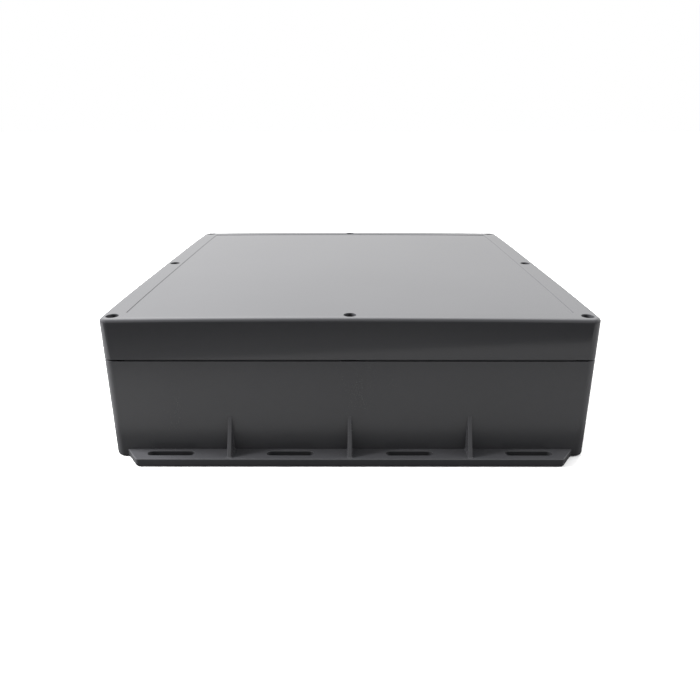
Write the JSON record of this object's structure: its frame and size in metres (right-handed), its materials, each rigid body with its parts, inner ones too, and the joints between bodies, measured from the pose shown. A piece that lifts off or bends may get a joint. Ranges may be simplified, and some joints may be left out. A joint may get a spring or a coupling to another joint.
{
  "type": "electrical junction box",
  "caption": "Low square moulded enclosure with slotted mounting flanges and a deep screwed-on lid; it keeps electrical joints dry.",
  "frame": {"origin": "middle of the underside, the face that goes against the wall", "axes": "+Z out of the mounting face towards the lid, +Y from the front flange to the back flange, +X to the right seen from the front"},
  "size_m": [0.4, 0.434, 0.1234],
  "materials": {
    "housing": "satin moulded ABS, dark grey",
    "seal": "soft black silicone",
    "stainless": "stainless steel, lightly brushed",
    "brass": "turned brass",
    "galvanised": "galvanised sheet steel"
  },
  "bodies": {
    "base": {"enclosure_base": "housing", "mounting_plate": "galvanised", "threaded_insert_front_left": "brass", "threaded_insert_front_middle": "brass", "threaded_insert_front_right": "brass", "threaded_insert_left_middle": "brass", "threaded_insert_right_middle": "brass", "threaded_insert_back_left": "brass", "threaded_insert_back_middle": "brass", "threaded_insert_back_right": "brass", "plate_screw_front_left": "stainless", "plate_screw_front_right": "stainless", "plate_screw_back_left": "stainless", "plate_screw_back_right": "stainless"},
    "lid": {"enclosure_lid": "housing", "lid_gasket": "seal"},
    "seal_front_left": {"screw_seal_front_left": "seal"},
    "screw_front_left": {"lid_screw_front_left": "stainless"},
    "seal_front_middle": {"screw_seal_front_middle": "seal"},
    "screw_front_middle": {"lid_screw_front_middle": "stainless"},
    "seal_front_right": {"screw_seal_front_right": "seal"},
    "screw_front_right": {"lid_screw_front_right": "stainless"},
    "seal_left_middle": {"screw_seal_left_middle": "seal"},
    "screw_left_middle": {"lid_screw_left_middle": "stainless"},
    "seal_right_middle": {"screw_seal_right_middle": "seal"},
    "screw_right_middle": {"lid_screw_right_middle": "stainless"},
    "seal_back_left": {"screw_seal_back_left": "seal"},
    "screw_back_left": {"lid_screw_back_left": "stainless"},
    "seal_back_middle": {"screw_seal_back_middle": "seal"},
    "screw_back_middle": {"lid_screw_back_middle": "stainless"},
    "seal_back_right": {"screw_seal_back_right": "seal"},
    "screw_back_right": {"lid_screw_back_right": "stainless"}
  },
  "joints": [
    {"name": "lid_lift", "type": "slide", "parent": "base", "child": "lid", "axis": [0, 0, 1], "range_m": [0, 0.15]},
    {"name": "screw_rise_front_left", "type": "slide", "parent": "lid", "child": "seal_front_left", "axis": [0, 0, 1], "range_m": [0, 0.0112]},
    {"name": "screw_turn_front_left", "type": "hinge", "parent": "seal_front_left", "child": "screw_front_left", "pos_m": [-0.1904, -0.1904, 0.09], "axis": [0, 0, 1], "range_deg": [0, 5041]},
    {"name": "screw_rise_front_middle", "type": "slide", "parent": "lid", "child": "seal_front_middle", "axis": [0, 0, 1], "range_m": [0, 0.0112]},
    {"name": "screw_turn_front_middle", "type": "hinge", "parent": "seal_front_middle", "child": "screw_front_middle", "pos_m": [0, -0.1904, 0.09], "axis": [0, 0, 1], "range_deg": [0, 5041]},
    {"name": "screw_rise_front_right", "type": "slide", "parent": "lid", "child": "seal_front_right", "axis": [0, 0, 1], "range_m": [0, 0.0112]},
    {"name": "screw_turn_front_right", "type": "hinge", "parent": "seal_front_right", "child": "screw_front_right", "pos_m": [0.1904, -0.1904, 0.09], "axis": [0, 0, 1], "range_deg": [0, 5041]},
    {"name": "screw_rise_left_middle", "type": "slide", "parent": "lid", "child": "seal_left_middle", "axis": [0, 0, 1], "range_m": [0, 0.0112]},
    {"name": "screw_turn_left_middle", "type": "hinge", "parent": "seal_left_middle", "child": "screw_left_middle", "pos_m": [-0.1904, 0, 0.09], "axis": [0, 0, 1], "range_deg": [0, 5041]},
    {"name": "screw_rise_right_middle", "type": "slide", "parent": "lid", "child": "seal_right_middle", "axis": [0, 0, 1], "range_m": [0, 0.0112]},
    {"name": "screw_turn_right_middle", "type": "hinge", "parent": "seal_right_middle", "child": "screw_right_middle", "pos_m": [0.1904, 0, 0.09], "axis": [0, 0, 1], "range_deg": [0, 5041]},
    {"name": "screw_rise_back_left", "type": "slide", "parent": "lid", "child": "seal_back_left", "axis": [0, 0, 1], "range_m": [0, 0.0112]},
    {"name": "screw_turn_back_left", "type": "hinge", "parent": "seal_back_left", "child": "screw_back_left", "pos_m": [-0.1904, 0.1904, 0.09], "axis": [0, 0, 1], "range_deg": [0, 5041]},
    {"name": "screw_rise_back_middle", "type": "slide", "parent": "lid", "child": "seal_back_middle", "axis": [0, 0, 1], "range_m": [0, 0.0112]},
    {"name": "screw_turn_back_middle", "type": "hinge", "parent": "seal_back_middle", "child": "screw_back_middle", "pos_m": [0, 0.1904, 0.09], "axis": [0, 0, 1], "range_deg": [0, 5041]},
    {"name": "screw_rise_back_right", "type": "slide", "parent": "lid", "child": "seal_back_right", "axis": [0, 0, 1], "range_m": [0, 0.0112]},
    {"name": "screw_turn_back_right", "type": "hinge", "parent": "seal_back_right", "child": "screw_back_right", "pos_m": [0.1904, 0.1904, 0.09], "axis": [0, 0, 1], "range_deg": [0, 5041]}
  ],
  "couplings": [
    {"joint": "screw_turn_front_left", "follows": "screw_rise_front_left", "rad_per_m": 7854},
    {"joint": "screw_turn_front_middle", "follows": "screw_rise_front_middle", "rad_per_m": 7854},
    {"joint": "screw_turn_front_right", "follows": "screw_rise_front_right", "rad_per_m": 7854},
    {"joint": "screw_turn_left_middle", "follows": "screw_rise_left_middle", "rad_per_m": 7854},
    {"joint": "screw_turn_right_middle", "follows": "screw_rise_right_middle", "rad_per_m": 7854},
    {"joint": "screw_turn_back_left", "follows": "screw_rise_back_left", "rad_per_m": 7854},
    {"joint": "screw_turn_back_middle", "follows": "screw_rise_back_middle", "rad_per_m": 7854},
    {"joint": "screw_turn_back_right", "follows": "screw_rise_back_right", "rad_per_m": 7854}
  ]
}
